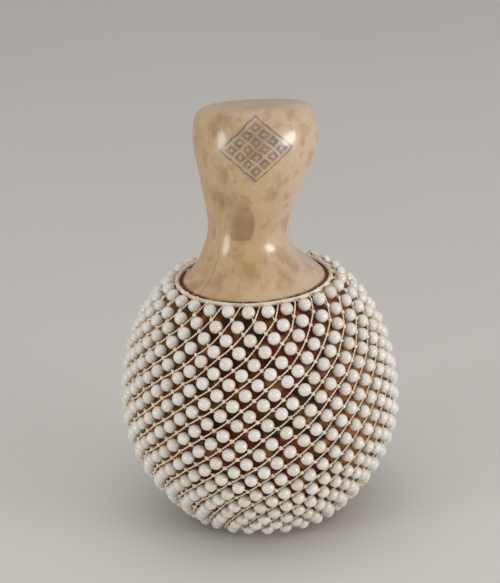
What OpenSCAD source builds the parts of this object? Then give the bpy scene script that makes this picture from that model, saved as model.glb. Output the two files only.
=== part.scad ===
// Beaded gourd rattle: a hollow bottle gourd inside a loose net of knotted cord and round beads.
// The net hangs on a collar cord round the shoulder, ends in a ring cord round the base,
// and turns freely about the gourd. The gourd stands on its flat base, with the mouth in it.

/* [Gourd body] */
// Radius of the flat base that the gourd stands on
base_r = 29; // [26:0.5:33]
// Angle at which the wall leaves the base
base_angle = 27.5; // [22:0.5:36]
// Reach of the wall's first bend from the base
base_pull = 28.5; // [22:0.5:34]
// Radius of the belly at its widest
belly_r = 78.3; // [70:0.1:88]
// Height of the widest ring
belly_z = 73.3; // [66:0.1:84]
// Fullness of the belly below its widest ring
belly_pull_low = 28; // [20:0.5:36]
// Fullness of the belly above its widest ring
belly_pull_up = 84; // [72:0.5:92]
// Thickness of the gourd's wall
wall = 4.5; // [3:0.1:6]
// Radius of the mouth cut in the base
mouth_r = 20; // [12:0.5:22]

/* [Gourd neck] */
// Radius of the neck at its narrowest
neck_r = 24.8; // [22:0.1:28]
// Height of the narrowest ring
neck_z = 189.5; // [184:0.5:198]
// Length of the flare below the narrowest ring
flare_pull = 39.5; // [34:0.5:46]
// Length of the straight throat above the narrowest ring
throat_pull = 11; // [6:0.5:18]
// Radius of the bulb at its widest
bulb_r = 38.6; // [34:0.1:44]
// Height of the bulb's widest ring
bulb_z = 241.5; // [234:0.5:250]
// Fullness of the bulb below its widest ring
bulb_pull_low = 11.5; // [6:0.5:20]
// Fullness of the bulb above its widest ring
bulb_pull_up = 23.5; // [12:0.5:26]
// Flatness of the crown, as a reach from the axis
crown_pull = 32; // [20:0.5:36]
// Height of the crown
top_z = 264; // [258:0.1:275]
// Height at which the neck starts to bend
bend_z = 160; // [160:0.5:172]
// How far the neck first sways to the left
neck_sway = 3; // [0:0.1:4]
// How far the bulb stands to the right of the base
bulb_lean = 5.4; // [0:0.1:9]
// How far the crown leans back behind the base
crown_back = 12; // [0:0.5:14]

/* [Beads] */
// Diameter of a bead
bead_d = 8; // [6:0.1:9]
// Diameter of the hole through a bead
bead_hole_d = 1.5; // [1.2:0.1:2.4]
// Least slack of a bead between its two knots, at each end
bead_play = 0.4; // [0.3:0.05:0.7]
// Least gap between the beads of one row
bead_row_gap = 1.9; // [1.9:0.1:4]

/* [Net] */
// Strands of the net, counted round the gourd
strands = 28; // [26:1:29]
// Drop from one row to the next where the net is wide
row_pitch = 6.1; // [6:0.05:7]
// Diameter of the net's cord
cord_d = 0.7; // [0.6:0.1:0.9]
// Diameter of a knot
knot_d = 2.4; // [2.2:0.1:2.8]
// Slant of the net, in degrees a row
net_slant = 0.78; // [0:0.02:0.8]
// Turn of the whole net round the gourd, at rest
net_rest = 3.9; // [-6:0.1:6]
// Gap between the gourd and the beads, measured where their leg meets a knot
net_clear = 0.6; // [0.55:0.05:1]
// Gap where a leg's end meets the knot or cord that holds it
seat_gap = 0.06; // [0.04:0.01:0.2]

/* [Collar and base ring] */
// Height on the gourd's shoulder where the rows of the net begin
net_top_z = 152; // [146:0.1:157]
// Height of the collar's centre line over the gourd's wall
collar_lift = 4.6; // [4.4:0.1:7]
// Diameter of the collar cord
collar_cord_d = 2.6; // [2:0.1:3.4]
// Distance of the base ring from the rim of the base
ring_out = 7; // [5:0.5:9]
// Diameter of the base ring cord
ring_cord_d = 2.2; // [1.6:0.1:2.6]

/* [Detail] */
// Sides of the gourd's rings
gourd_sides = 40; // [32:4:56]

/* [Hidden] */
bands = 12;
round_fn = 48;

gourd_color = "#B8946A";
bead_color = "#EFEBE2";
cord_color = "#D8BF96";
collar_color = "#E8DEC9";

// The gourd's outline, as [radius, height], is four smooth curves from the base to the crown.
curves = [
    [[base_r, 0], [base_r + base_pull * cos(base_angle), base_pull * sin(base_angle)],
     [belly_r, belly_z - belly_pull_low], [belly_r, belly_z]],
    [[belly_r, belly_z], [belly_r, belly_z + belly_pull_up],
     [neck_r, neck_z - flare_pull], [neck_r, neck_z]],
    [[neck_r, neck_z], [neck_r, neck_z + throat_pull],
     [bulb_r, bulb_z - bulb_pull_low], [bulb_r, bulb_z]],
    [[bulb_r, bulb_z], [bulb_r, bulb_z + bulb_pull_up], [crown_pull, top_z], [0, top_z]]
];
// Places along the outline where rings are set, counted in curves
outer_stops = [
    for (i = [0 : 11]) i / 12,
    for (i = [0 : 13]) 1 + i / 14,
    for (i = [0 : 5]) 2 + i / 6,
    for (i = [0 : 8]) 3 + i / 9
];
inner_stops = [
    for (i = [0 : 6]) i / 7,
    for (i = [0 : 7]) 1 + i / 8,
    for (i = [0 : 3]) 2 + i / 4,
    for (i = [0 : 4]) 3 + i / 5
];

function curve_at(p, t) =
    let (u = 1 - t)
    u * u * u * p[0] + 3 * t * u * u * p[1] + 3 * t * t * u * p[2] + t * t * t * p[3];
function slope_at(p, t) =
    let (u = 1 - t)
    3 * u * u * (p[1] - p[0]) + 6 * t * u * (p[2] - p[1]) + 3 * t * t * (p[3] - p[2]);
function leg_of(q) = min(3, floor(q));
function wall_at(q) = curve_at(curves[leg_of(q)], q - leg_of(q));
function out_of(q) =
    let (s = slope_at(curves[leg_of(q)], q - leg_of(q)))
    [s[1], -s[0]] / norm(s);
function off_wall(q, gap) = wall_at(q) + gap * out_of(q);

// Bisection along the outline, for the place with a given height or a given radius
function seek(want, axis, gap, low, high, turns = 30) =
    let (mid = (low + high) / 2)
    turns == 0 ? mid
    : (off_wall(mid, gap)[axis] < want) == (off_wall(low, gap)[axis] < want)
    ? seek(want, axis, gap, mid, high, turns - 1)
    : seek(want, axis, gap, low, mid, turns - 1);

// Above the collar the neck's centre line leaves the axis: a sway and a lean to the side, and a bend
// to the back that tilts the bulb.
function ease(z, low, high) =
    let (t = max(0, min(1, (z - low) / (high - low))))
    t * t * (3 - 2 * t);
sway_top_z = (bend_z + neck_z) / 2;
function shift_at(z) =
    -neck_sway * ease(z, bend_z, sway_top_z)
    + (neck_sway + bulb_lean) * ease(z, sway_top_z, bulb_z);
function bend_at(z) = max(0, z - bend_z) / (top_z - bend_z);
function back_at(z) = crown_back * pow(bend_at(z), 2);
function tilt_at(z) = atan(2 * crown_back * bend_at(z) / (top_z - bend_z));
function axis_at(z) = [shift_at(z), back_at(z), z];
// A point of a ring, which lies square to the centre line's bend
function ring_point(ring, turn) =
    let (tilt = tilt_at(ring[1]))
    axis_at(ring[1]) + ring[0] * [cos(turn), sin(turn) * cos(tilt), -sin(turn) * sin(tilt)];

// The net
bead_r = bead_d / 2;
knot_r = knot_d / 2;
cord_r = cord_d / 2;
collar_cord_r = collar_cord_d / 2;
ring_cord_r = ring_cord_d / 2;
net_off = bead_r + net_clear;
// The shortest leg just holds its bead between two knots.
leg_len = bead_d + knot_d + 2 * bead_play;
half_turn = 180 / strands;
leg_turn = half_turn + net_slant;
back_turn = half_turn - net_slant;
last_r = strands * (bead_d + bead_row_gap) / (2 * PI);
top_q = seek(net_top_z, 1, 0, 1, 2);
last_q = seek(last_r, 0, net_off, 0, 1);
ring_off = ring_cord_r + net_clear;
ring_q = seek(base_r + ring_out, 0, ring_off, 0, 1);
ring_at = off_wall(ring_q, ring_off);

// Rows follow each other down the net by whole legs. Where the net is narrow, the drop is what
// the shortest leg has left after its reach round the gourd. Where it is wide, the drop is the
// row pitch and the legs are longer. The table gives the rows passed at each step down the net.
steps = 240;
function step_q(i) = top_q + (last_q - top_q) * i / steps;
function drop_at(r) =
    let (reach = 2 * r * sin(leg_turn / 2))
    max(row_pitch, sqrt(max(0, leg_len * leg_len - reach * reach)));
function rows_in(i) =
    let (a = off_wall(step_q(i), net_off), b = off_wall(step_q(i + 1), net_off))
    norm(b - a) / drop_at((a[0] + b[0]) / 2);
passed = [for (i = 0, n = 0; i <= steps; n = n + rows_in(i), i = i + 1) [n, i]];
rows = floor(passed[steps][0]);
function net_row(k) = off_wall(step_q(lookup(k, passed)), net_off);

// A point of the net at an angle from the front, positive to the right
function round_at(p, turn) = [p[0] * sin(turn), -p[0] * cos(turn), p[1]];
// The middle of a bead, halfway between the knot under it and what holds its leg
function bead_mid(knot, d, holder_r) = knot + d * (1 + (knot_r - holder_r) / norm(d)) / 2;

// The collar lies up the shoulder from the net's top, just clear of the first row's beads.
function collar_room(q) =
    let (cord = off_wall(q, collar_lift), knot = round_at(net_row(1), 0))
    let (mid = bead_mid(knot, round_at(cord, -leg_turn) - knot, collar_cord_r))
    norm([norm([mid[0], mid[1]]), mid[2]] - cord) - bead_r - collar_cord_r;
function seat_collar(low, high, turns = 30) =
    let (mid = (low + high) / 2)
    turns == 0 ? high
    : collar_room(mid) < bead_play ? seat_collar(mid, high, turns - 1)
    : seat_collar(low, mid, turns - 1);
collar_at = off_wall(seat_collar(top_q, 2), collar_lift);
function row_at(k) = k == 0 ? collar_at : net_row(k);
function holder_r(k) = k == 1 ? collar_cord_r : knot_r;
function first_row(band) = 1 + round((band - 1) * rows / bands);
function last_row(band) = round(band * rows / bands);

// A closed skin over rings given as [radius, height], ending in a point on the centre line
module skin(rings, tip_z) {
    n = gourd_sides;
    last = len(rings) - 1;
    points = [
        for (ring = rings) for (j = [0 : n - 1]) ring_point(ring, 360 * j / n),
        axis_at(rings[0][1]),
        axis_at(tip_z)
    ];
    foot = n * (last + 1);
    tip = foot + 1;
    faces = [
        for (i = [0 : last - 1]) for (j = [0 : n - 1])
            let (a = i * n + j, d = i * n + (j + 1) % n)
            each [[a, a + n, d + n], [a, d + n, d]],
        for (j = [0 : n - 1]) [foot, j, (j + 1) % n],
        for (j = [0 : n - 1]) [tip, last * n + (j + 1) % n, last * n + j]
    ];
    polyhedron(points, faces, convexity = 6);
}

// A round rod from the origin along a vector
module rod(d, r) {
    rotate([0, acos(d[2] / norm(d)), atan2(d[1], d[0])])
        cylinder(h = norm(d), r = r, $fn = round_fn);
}

// Shortens a vector at its far end
function cut_back(d, by) = d * (1 - by / norm(d));
// A leg of a knot, from the knot's centre to the row above at a turn to the side
function leg_to(k, turn) = round_at(row_at(k - 1), turn) - round_at(row_at(k), 0);
function bead_leg(k) = leg_to(k, -leg_turn);
// How far a leg ends before the middle of what holds it. It meets the collar's cord at a slant,
// so the near edge of the leg's end decides there.
function leg_stop(k, turn) =
    let (d = leg_to(k, turn), along = abs(d * [cos(turn), sin(turn), 0]) / norm(d))
    k == 1 ? (collar_cord_r + seat_gap + cord_r * along) / sqrt(1 - along * along)
    : knot_r + seat_gap;

// One knot of a row and the two legs that hang it from the row above
module knot_and_legs(k) {
    translate(round_at(row_at(k), 0)) {
        sphere(r = knot_r, $fn = round_fn);
        for (turn = [-leg_turn, back_turn])
            rod(cut_back(leg_to(k, turn), leg_stop(k, turn)), cord_r);
    }
}

// A round bead with its hole along Z
module drilled_ball() {
    difference() {
        sphere(r = bead_r, $fn = round_fn);
        cylinder(h = 2 * bead_d, r = bead_hole_d / 2, center = true, $fn = round_fn);
    }
}

// One bead, threaded on its leg
module bead(k) {
    d = bead_leg(k);
    translate(bead_mid(round_at(row_at(k), 0), d, holder_r(k)))
        rotate([0, acos(d[2] / norm(d)), atan2(d[1], d[0])]) drilled_ball();
}

// Turns its child to every strand of a row
module each_strand(k) {
    for (j = [0 : strands - 1])
        rotate([0, 0, net_rest + k * leg_turn + 2 * half_turn * j]) children();
}

module gourd_shell() {
    color(gourd_color)
        difference() {
            skin([for (q = outer_stops) wall_at(q)], top_z);
            skin([for (q = inner_stops) off_wall(q, -wall)], top_z - wall);
            translate([0, 0, -wall]) cylinder(h = 4 * wall, r = mouth_r, $fn = 2 * round_fn);
        }
}

module collar_cord() {
    color(collar_color)
        translate([0, 0, collar_at[1]])
            rotate_extrude($fn = 4 * round_fn)
                translate([collar_at[0], 0]) circle(r = collar_cord_r, $fn = round_fn);
}

module base_ring_cord() {
    color(cord_color)
        translate([0, 0, ring_at[1]])
            rotate_extrude($fn = 4 * round_fn)
                translate([ring_at[0], 0]) circle(r = ring_cord_r, $fn = round_fn);
}

// The two cord ends under each knot of the last row, side by side down to the base ring
module gather_cords() {
    knot = round_at(row_at(rows), 0);
    down = cut_back(round_at(ring_at, 0) - knot, ring_cord_r + seat_gap);
    start = (knot_r + seat_gap) * down / norm(down);
    color(cord_color)
        each_strand(rows)
            for (side = [-1, 1])
                translate(knot + start + [side * (cord_r + seat_gap), 0, 0]) rod(down - start, cord_r);
}

module bead_band(band) {
    color(bead_color)
        for (k = [first_row(band) : last_row(band)])
            each_strand(k) bead(k);
}

module cord_band(band) {
    color(cord_color)
        for (k = [first_row(band) : last_row(band)])
            each_strand(k) knot_and_legs(k);
}

gourd_shell();
collar_cord();
base_ring_cord();
gather_cords();
bead_band(1);  // bead_band_01
bead_band(2);  // bead_band_02
bead_band(3);  // bead_band_03
bead_band(4);  // bead_band_04
bead_band(5);  // bead_band_05
bead_band(6);  // bead_band_06
bead_band(7);  // bead_band_07
bead_band(8);  // bead_band_08
bead_band(9);  // bead_band_09
bead_band(10);  // bead_band_10
bead_band(11);  // bead_band_11
bead_band(12);  // bead_band_12
cord_band(1);  // cord_band_01
cord_band(2);  // cord_band_02
cord_band(3);  // cord_band_03
cord_band(4);  // cord_band_04
cord_band(5);  // cord_band_05
cord_band(6);  // cord_band_06
cord_band(7);  // cord_band_07
cord_band(8);  // cord_band_08
cord_band(9);  // cord_band_09
cord_band(10);  // cord_band_10
cord_band(11);  // cord_band_11
cord_band(12);  // cord_band_12
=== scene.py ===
"""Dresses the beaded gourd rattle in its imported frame.

A varnished bottle gourd, a net of knotted twine with a round bead on every other leg, the
collar cord that the net hangs on and the ring cord that gathers it round the base. Sizes are
millimetres, and become metres when a mesh is made.
"""

import logging
import math
from dataclasses import dataclass, field
from enum import Enum
from functools import cached_property

import bpy
import numpy as np
from mathutils import Matrix, Vector


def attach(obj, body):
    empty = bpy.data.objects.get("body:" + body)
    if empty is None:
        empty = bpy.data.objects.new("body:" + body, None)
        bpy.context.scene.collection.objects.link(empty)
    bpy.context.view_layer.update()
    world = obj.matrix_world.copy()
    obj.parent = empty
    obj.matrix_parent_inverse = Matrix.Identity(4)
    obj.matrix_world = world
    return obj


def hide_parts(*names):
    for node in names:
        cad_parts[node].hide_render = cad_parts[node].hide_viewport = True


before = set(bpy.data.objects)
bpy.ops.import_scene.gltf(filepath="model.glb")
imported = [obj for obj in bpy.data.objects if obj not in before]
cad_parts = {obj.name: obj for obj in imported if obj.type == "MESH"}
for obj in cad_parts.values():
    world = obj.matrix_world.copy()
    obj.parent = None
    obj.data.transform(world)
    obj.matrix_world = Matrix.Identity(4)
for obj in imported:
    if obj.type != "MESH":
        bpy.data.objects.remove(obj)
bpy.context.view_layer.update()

Array = np.ndarray
# What can feed a node's input.
Feed = bpy.types.Node | bpy.types.NodeSocket
Colour = tuple[float, float, float, float]

MM = 0.001
UP = np.array([0.0, 0.0, 1.0])
# Halvings of a search along the gourd's outline.
SEARCH_STEPS = 40
# Nearly all of a noise lies between these two.
NOISE_LOW, NOISE_HIGH = 0.3, 0.7
# The setting of a MapRange that eases in and out.
SMOOTH = {"interpolation_type": "SMOOTHSTEP"}
PHOTO_SIZE = (500, 583)
log = logging.getLogger("gourd_rattle")


class Body(Enum):
    """The bodies that pieces ride on."""

    GOURD = "gourd"
    NET = "net"


class Slot(Enum):
    """The record's material slots."""

    GOURD = "gourd"
    BEADS = "beads"
    NET_CORD = "net_cord"
    COLLAR = "collar"


class Leg(Enum):
    """The two kinds of leg that hang a knot from the row above it."""

    BEADED = "beaded"
    BARE = "bare"


def linear(colour: str) -> Colour:
    """Turns an sRGB hex colour into linear light.

    Args:
        colour: A colour as "#RRGGBB".

    Returns:
        Red, green, blue and an alpha of 1.
    """
    shares = [int(colour[i : i + 2], 16) / 255 for i in (1, 3, 5)]
    # The curve that the sRGB standard gives.
    red, green, blue = (c / 12.92 if c <= 0.04045 else ((c + 0.055) / 1.055) ** 2.4 for c in shares)
    return (red, green, blue, 1.0)


def put(
    tree: bpy.types.NodeTree, kind: str, inputs: dict[int | str, object] | None = None, **settings: object
) -> bpy.types.Node:
    """Adds one node to a material, with its settings, values and links.

    A MapRange has its value at 0, the range of that at 1 and 2, and what the range becomes at 3
    and 4. A colour Mix has its share at 0 and its colours at 6 and 7.

    Args:
        tree: The material's node tree.
        kind: The node's type, without ShaderNode.
        inputs: For each input, by name or number, a value, the socket that feeds it, or the node
            whose first output in use does.
        **settings: The node's own settings.

    Returns:
        The new node.
    """
    made = tree.nodes.new("ShaderNode" + kind)
    for name, value in settings.items():
        setattr(made, name, value)
    for name, value in (inputs or {}).items():
        if isinstance(value, bpy.types.Node):
            value = next(socket for socket in value.outputs if socket.enabled)
        if isinstance(value, bpy.types.NodeSocket):
            tree.links.new(value, made.inputs[name])
        else:
            made.inputs[name].default_value = value
    return made


def new_tree(name: str) -> tuple[bpy.types.Material, bpy.types.NodeTree]:
    """Makes an empty material.

    Args:
        name: The material's name.

    Returns:
        The material and its node tree.
    """
    material = bpy.data.materials.new(name)
    material.use_nodes = True
    material.node_tree.nodes.clear()
    return material, material.node_tree


def place_in_mm(tree: bpy.types.NodeTree) -> bpy.types.Node:
    """Gives the place on a piece in millimetres."""
    place = put(tree, "TexCoord").outputs["Object"]
    return put(tree, "VectorMath", {0: place, "Scale": 1 / MM}, operation="SCALE")


def unit(vectors: Array) -> Array:
    """Gives vectors a length of one."""
    return vectors / np.linalg.norm(vectors, axis=-1, keepdims=True)


def smooth_step(value: Array | float, low: float, high: float) -> Array:
    """Rises smoothly from 0 at low to 1 at high."""
    t = np.clip((value - low) / (high - low), 0.0, 1.0)
    return t * t * (3 - 2 * t)


def spokes(turn: Array) -> tuple[Array, Array]:
    """Finds level directions at some angles round the gourd.

    Args:
        turn: Angles in radians from the front.

    Returns:
        The directions outwards, and those along the round.
    """
    sine, cosine, level = np.sin(turn), np.cos(turn), np.zeros_like(turn)
    return np.stack([sine, -cosine, level], axis=-1), np.stack([cosine, sine, level], axis=-1)


@dataclass
class MeshParts:
    """Points, faces and point values that are gathered into one mesh."""

    points: list[Array] = field(default_factory=list)
    loops: list[Array] = field(default_factory=list)
    corners: list[Array] = field(default_factory=list)
    slots: list[Array] = field(default_factory=list)
    values: dict[str, list[Array]] = field(default_factory=dict)
    count: int = 0

    def add(
        self, points: Array, faces: list[Array], slots: list[int] | None = None, **values: Array
    ) -> None:
        """Adds a shape.

        Args:
            points: Its points in millimetres, one a row.
            faces: Tables of point numbers, each with as many columns as its faces have corners.
            slots: The number of the material that each table takes, if not the first.
            **values: Named numbers or vectors, one for each point.
        """
        self.points.append(points)
        for table, slot in zip(faces, slots or [0] * len(faces)):
            self.loops.append((table + self.count).ravel())
            self.corners.append(np.full(len(table), table.shape[1]))
            self.slots.append(np.full(len(table), slot))
        for name, column in values.items():
            self.values.setdefault(name, []).append(column)
        self.count += len(points)

    def build(self, name: str, materials: list[bpy.types.Material]) -> bpy.types.Object:
        """Makes the smooth-shaded object.

        Args:
            name: The piece's name.
            materials: Its materials, in slot order.

        Returns:
            The object, in the scene.
        """
        points = np.concatenate(self.points) * MM
        loops = np.concatenate(self.loops)
        corners = np.concatenate(self.corners)
        mesh = bpy.data.meshes.new(name)
        mesh.vertices.add(len(points))
        mesh.vertices.foreach_set("co", points.astype(np.float32).ravel())
        mesh.loops.add(len(loops))
        mesh.loops.foreach_set("vertex_index", loops.astype(np.int32))
        mesh.polygons.add(len(corners))
        mesh.polygons.foreach_set("loop_start", (np.cumsum(corners) - corners).astype(np.int32))
        for material in materials:
            mesh.materials.append(material)
        mesh.polygons.foreach_set("material_index", np.concatenate(self.slots).astype(np.int32))
        mesh.update(calc_edges=True)
        for label, columns in self.values.items():
            column = np.concatenate(columns).astype(np.float32)
            kind, key = ("FLOAT_VECTOR", "vector") if column.ndim == 2 else ("FLOAT", "value")
            mesh.attributes.new(label, kind, "POINT").data.foreach_set(key, column.ravel())
        mesh.shade_smooth()
        made = bpy.data.objects.new(name, mesh)
        bpy.context.scene.collection.objects.link(made)
        return made


def grid_faces(rings: int, sides: int, tubes: int = 1, closed: bool = False) -> Array:
    """Lists the quads of tubes whose points run side by side, ring by ring, tube by tube.

    Args:
        rings: Rings of each tube.
        sides: Points of each ring.
        tubes: How many tubes there are.
        closed: Whether the last ring joins the first.

    Returns:
        A table of four point numbers a face.
    """
    row = np.arange(rings if closed else rings - 1)
    here, there = row[:, None] * sides, ((row + 1) % rings)[:, None] * sides
    side = np.arange(sides)[None, :]
    after = (side + 1) % sides
    quads = np.stack([here + side, here + after, there + after, there + side], axis=-1)
    return (np.arange(tubes)[:, None, None] * rings * sides + quads.reshape(-1, 4)).reshape(-1, 4)


def path_frames(paths: Array, out: Array, closed: bool) -> tuple[Array, Array]:
    """Finds two directions across each point of some paths.

    Args:
        paths: Points as [path, point, xyz].
        out: The direction that the first one should lean to, as [path, point or 1, xyz].
        closed: Whether each path is a loop.

    Returns:
        The direction that leans to out, and the one square to it.
    """
    if closed:
        along = np.roll(paths, -1, axis=1) - np.roll(paths, 1, axis=1)
    else:
        along = np.gradient(paths, axis=1)
    along = unit(along)
    across = unit(np.cross(along, np.broadcast_to(out, paths.shape)))
    return np.cross(across, along), across


def twist(
    paths: Array, out: Array, lift: float, turns: float, phase: float, closed: bool = False
) -> Array:
    """Winds a ply round some paths.

    Args:
        paths: Points as [path, point, xyz].
        out: A direction across the paths.
        lift: Distance of the ply's centre from the path.
        turns: Turns over the whole path.
        phase: Where the ply starts, in radians.
        closed: Whether each path is a loop.

    Returns:
        The ply's points, in the same order.
    """
    first, second = path_frames(paths, out, closed)
    count = paths.shape[1]
    step = np.arange(count) / (count if closed else count - 1)
    angle = (phase + math.tau * turns * step)[None, :, None]
    return paths + lift * (np.cos(angle) * first + np.sin(angle) * second)


def sweep(
    parts: MeshParts, paths: Array, out: Array, radius: float, sides: int, closed: bool = False
) -> None:
    """Adds a round tube along each path.

    Args:
        parts: What the tubes are added to.
        paths: Points as [path, point, xyz].
        out: A direction across the paths.
        radius: The tube's radius.
        sides: The tube's sides.
        closed: Whether each path is a loop.
    """
    first, second = (way[:, :, None, :] for way in path_frames(paths, out, closed))
    angle = (math.tau * np.arange(sides) / sides)[:, None]
    points = paths[:, :, None, :] + radius * (np.cos(angle) * first + np.sin(angle) * second)
    tubes, rings = paths.shape[:2]
    faces = [grid_faces(rings, sides, tubes, closed)]
    if not closed:
        start = np.arange(tubes)[:, None] * rings * sides
        faces.append(start + np.arange(sides)[None, ::-1])
        faces.append(start + (rings - 1) * sides + np.arange(sides)[None, :])
    parts.add(points.reshape(-1, 3), faces)


@dataclass(frozen=True)
class GourdOutline:
    """The gourd's outside as four smooth curves from the base rim to the crown.

    A pull is the length of a curve's handle. Above bend_z the straight gourd is bent: its neck sways
    to the left, and its bulb leans to the right and back.
    """

    base_r: float = 29.0
    base_angle: float = 27.5
    base_pull: float = 28.5
    belly_r: float = 78.3
    belly_z: float = 73.3
    belly_pull_low: float = 28.0
    belly_pull_up: float = 84.0
    neck_r: float = 24.8
    neck_z: float = 189.5
    flare_pull: float = 39.5
    throat_pull: float = 11.0
    bulb_r: float = 38.6
    bulb_z: float = 241.5
    bulb_pull_low: float = 11.5
    bulb_pull_up: float = 23.5
    crown_pull: float = 32.0
    top_z: float = 264.0
    bend_z: float = 160.0
    neck_sway: float = 3.0
    bulb_lean: float = 5.4
    crown_back: float = 12.0
    net_top_z: float = 152.0

    @cached_property
    def curves(self) -> Array:
        """The curves' control points, as [curve, point, (radius, height)]."""
        lean = math.radians(self.base_angle)
        foot = (self.base_r + self.base_pull * math.cos(lean), self.base_pull * math.sin(lean))
        belly, neck = (self.belly_r, self.belly_z), (self.neck_r, self.neck_z)
        bulb = (self.bulb_r, self.bulb_z)
        return np.array([
            [(self.base_r, 0.0), foot, (self.belly_r, self.belly_z - self.belly_pull_low), belly],
            [belly, (self.belly_r, self.belly_z + self.belly_pull_up),
             (self.neck_r, self.neck_z - self.flare_pull), neck],
            [neck, (self.neck_r, self.neck_z + self.throat_pull),
             (self.bulb_r, self.bulb_z - self.bulb_pull_low), bulb],
            [bulb, (self.bulb_r, self.bulb_z + self.bulb_pull_up), (self.crown_pull, self.top_z),
             (0.0, self.top_z)],
        ])

    def off_wall(self, places: Array | float, gap: float = 0.0) -> Array:
        """Finds points off the outline.

        Args:
            places: Places along it, counted in curves from the base.
            gap: Distance outwards from the wall.

        Returns:
            Radius and height of each place.
        """
        q = np.asarray(places, dtype=float)
        part = np.minimum(len(self.curves) - 1, np.floor(q)).astype(int)
        t = (q - part)[..., None]
        a, b, c, d = (self.curves[part, i] for i in range(4))
        u = 1 - t
        wall = u**3 * a + 3 * t * u * u * b + 3 * t * t * u * c + t**3 * d
        slope = unit(u * u * (b - a) + 2 * t * u * (c - b) + t * t * (d - c))
        return wall + gap * np.stack([slope[..., 1], -slope[..., 0]], axis=-1)

    def seek(self, want: float, axis: int, gap: float, low: float, high: float) -> float:
        """Finds where the outline reaches a radius or a height.

        Args:
            want: The radius or height.
            axis: 0 for a radius, 1 for a height.
            gap: Distance outwards from the wall.
            low: Where the search starts along the outline.
            high: Where it ends.

        Returns:
            The place, counted in curves.
        """
        below = self.off_wall(low, gap)[axis] < want
        for _ in range(SEARCH_STEPS):
            mid = (low + high) / 2
            if (self.off_wall(mid, gap)[axis] < want) == below:
                low = mid
            else:
                high = mid
        return (low + high) / 2

    def axis(self, z: Array) -> Array:
        """Finds points of the centre line, which sways and then leans to the right and back.

        Args:
            z: The points' heights.

        Returns:
            The points.
        """
        top = (self.bend_z + self.neck_z) / 2
        side = (self.neck_sway + self.bulb_lean) * smooth_step(z, top, self.bulb_z)
        side = side - self.neck_sway * smooth_step(z, self.bend_z, top)
        bend = np.maximum(0.0, z - self.bend_z) / (self.top_z - self.bend_z)
        return np.stack([side, self.crown_back * bend**2, z], axis=-1)

    def bent(self, straight: Array) -> Array:
        """Bends a straight gourd: each ring moves to the centre line and tips to the back with it.

        Args:
            straight: Points of a gourd that stands straight.

        Returns:
            The same points on the bent gourd.
        """
        x, y, z = np.moveaxis(straight, -1, 0)
        rise = np.maximum(0.0, z - self.bend_z) / (self.top_z - self.bend_z) ** 2
        tilt = np.arctan(2 * self.crown_back * rise)
        return self.axis(z) + np.stack([x, y * np.cos(tilt), -y * np.sin(tilt)], axis=-1)


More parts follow.
